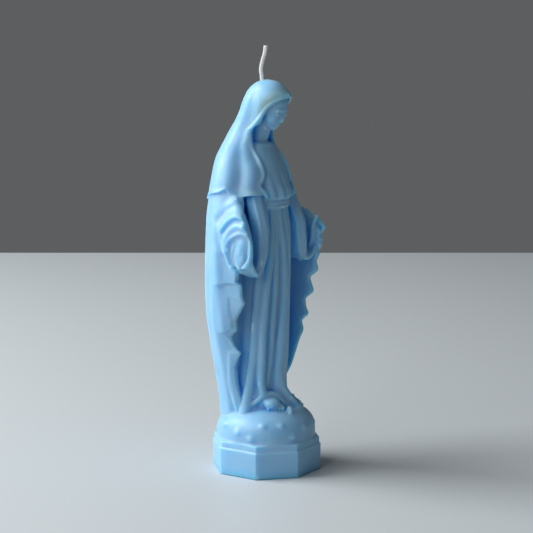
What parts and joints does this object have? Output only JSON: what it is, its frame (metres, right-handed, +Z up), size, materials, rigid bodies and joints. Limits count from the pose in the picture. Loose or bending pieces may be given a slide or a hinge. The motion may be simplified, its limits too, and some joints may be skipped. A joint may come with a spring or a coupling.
{
  "type": "figural pillar candle",
  "caption": "Moulded wax pillar candle shaped as a robed, veiled standing madonna with lowered open hands, on a globe and an octagonal plinth, with a braided wick.",
  "frame": {"origin": "centre of the plinth's underside, on the surface it stands on", "axes": "+Z up through the figure, -Y the way she faces, +X towards her left hand"},
  "size_m": [0.0604, 0.0463, 0.1822],
  "materials": {
    "wax": "satin, slightly translucent pale blue wax",
    "wick": "braided cotton, unburnt"
  },
  "bodies": {
    "root": {"wax_figure": "wax", "wick": "wick"}
  },
  "joints": []
}
